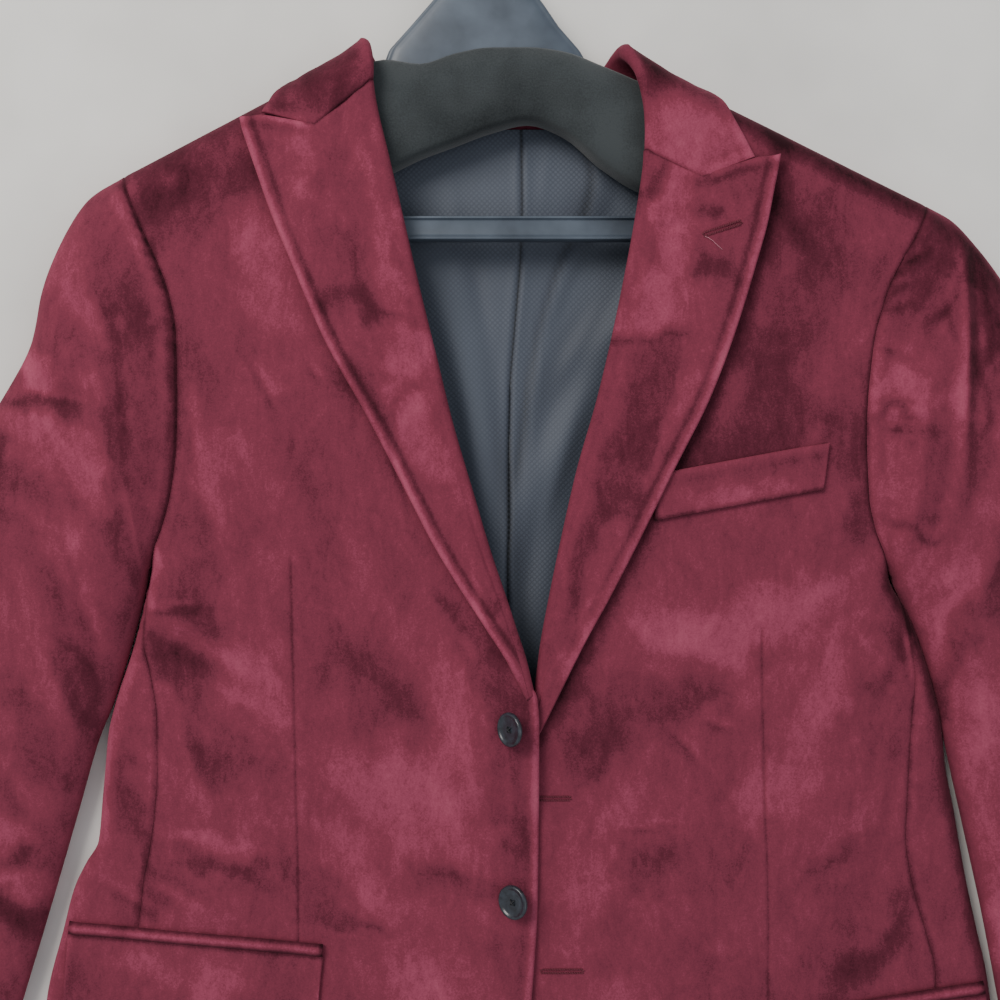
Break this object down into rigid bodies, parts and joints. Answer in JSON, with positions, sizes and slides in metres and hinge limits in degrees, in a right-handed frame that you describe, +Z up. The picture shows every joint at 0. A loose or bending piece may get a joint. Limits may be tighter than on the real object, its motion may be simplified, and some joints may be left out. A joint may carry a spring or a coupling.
{
  "type": "sport coat on a suit hanger",
  "caption": "Velvet sport coat with peak lapels, welt and flap pockets and a lined back, laid flat and unbuttoned on its moulded suit hanger.",
  "frame": {"origin": "on the floor under the middle of the coat and its hanger", "axes": "+Z up off the floor, +Y towards the collar and hook, +X towards the wearer's left"},
  "size_m": [0.923, 0.9248, 0.0467],
  "materials": {
    "velvet": "pile",
    "lining": "satin jacquard",
    "hanger_plastic": "semi-gloss",
    "hanger_felt": "matte",
    "hook_steel": "polished",
    "button_horn": "semi-gloss"
  },
  "bodies": {
    "root": {"front_right": "velvet", "front_left": "velvet", "side_panel_right": "velvet", "side_panel_left": "velvet", "back_right": "velvet", "back_left": "velvet", "top_sleeve_right": "velvet", "top_sleeve_left": "velvet", "under_sleeve_right": "velvet", "under_sleeve_left": "velvet", "lapel_right": "velvet", "lapel_left": "velvet", "collar": "velvet", "breast_welt": "velvet", "hip_jet_right": "velvet", "hip_jet_left": "velvet", "hip_flap_right": "velvet", "hip_flap_left": "velvet", "back_lining_right": "lining", "back_lining_left": "lining", "button_upper": "button_horn", "button_lower": "button_horn", "hanger_body": "hanger_plastic", "hanger_cover": "hanger_felt", "hanger_hook": "hook_steel"}
  },
  "joints": []
}
